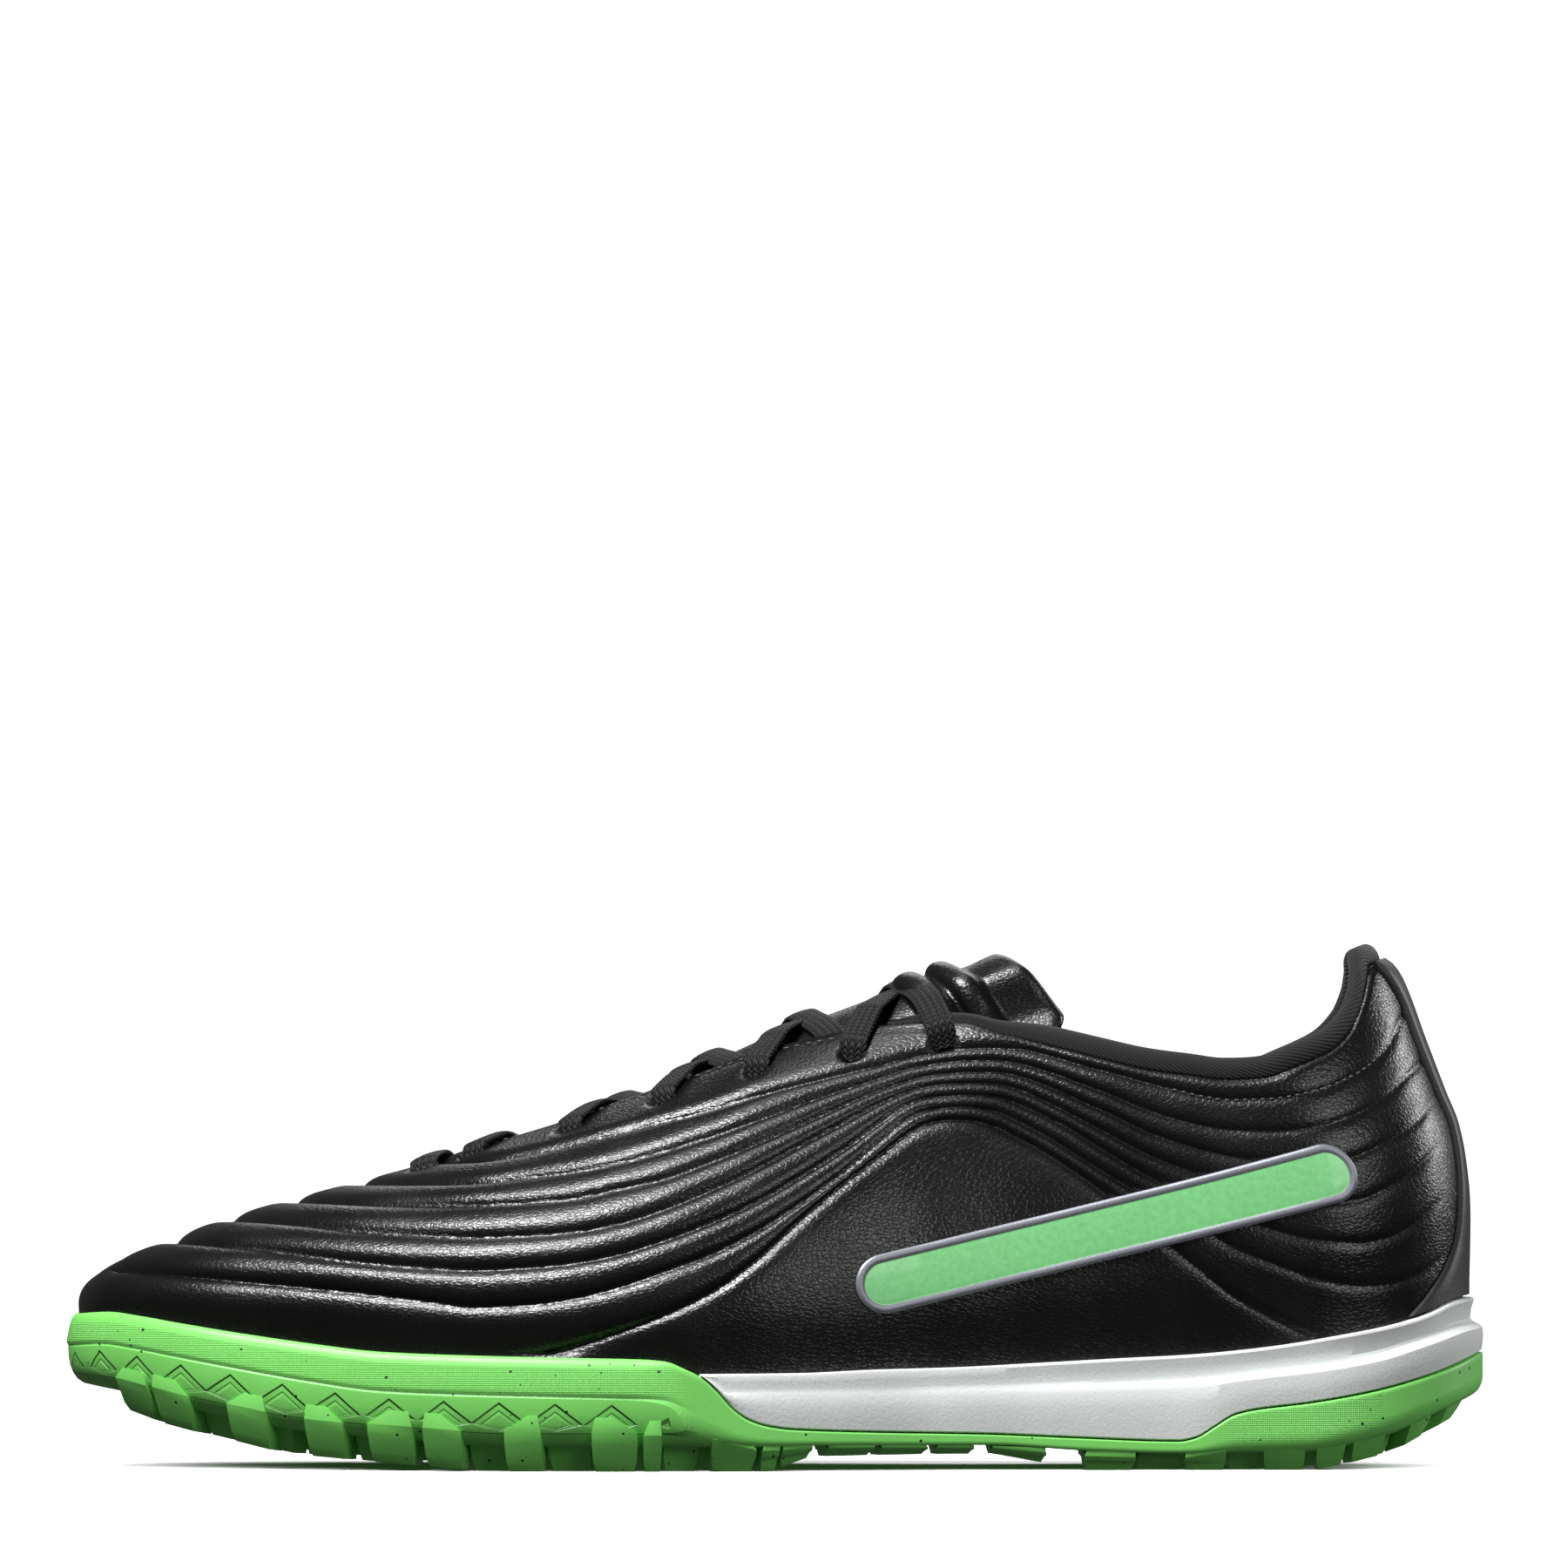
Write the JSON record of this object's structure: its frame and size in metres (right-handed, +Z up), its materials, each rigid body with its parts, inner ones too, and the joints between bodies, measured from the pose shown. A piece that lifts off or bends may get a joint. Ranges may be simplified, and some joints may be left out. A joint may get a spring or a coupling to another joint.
{
  "type": "turf shoe",
  "caption": "Low-cut lace-up turf shoe: hollow leather-like upper with padded collar and tongue, foam midsole wedge, cupped rubber outsole with short lugs.",
  "frame": {"origin": "middle of the bounding box on the plane that the lugs stand on", "axes": "+X from the toe to the heel, -Y the outer (lateral) side, +Z up"},
  "size_m": [0.292, 0.1018, 0.1076],
  "materials": {
    "green_rubber": "satin",
    "pale_foam": "matte",
    "black_leather": "satin",
    "print_film": "satin",
    "charcoal_textile": "matte",
    "black_braid": "matte"
  },
  "bodies": {
    "root": {"outsole": "green_rubber", "midsole": "pale_foam", "insole": "charcoal_textile", "upper": "black_leather", "heel_counter": "black_leather", "side_patch": "print_film", "tongue": "black_leather", "collar": "charcoal_textile", "lace_bar": "black_braid", "lace_cross_1": "black_braid", "lace_cross_2": "black_braid", "lace_cross_3": "black_braid", "lace_cross_4": "black_braid", "lace_cross_5": "black_braid"}
  },
  "joints": []
}
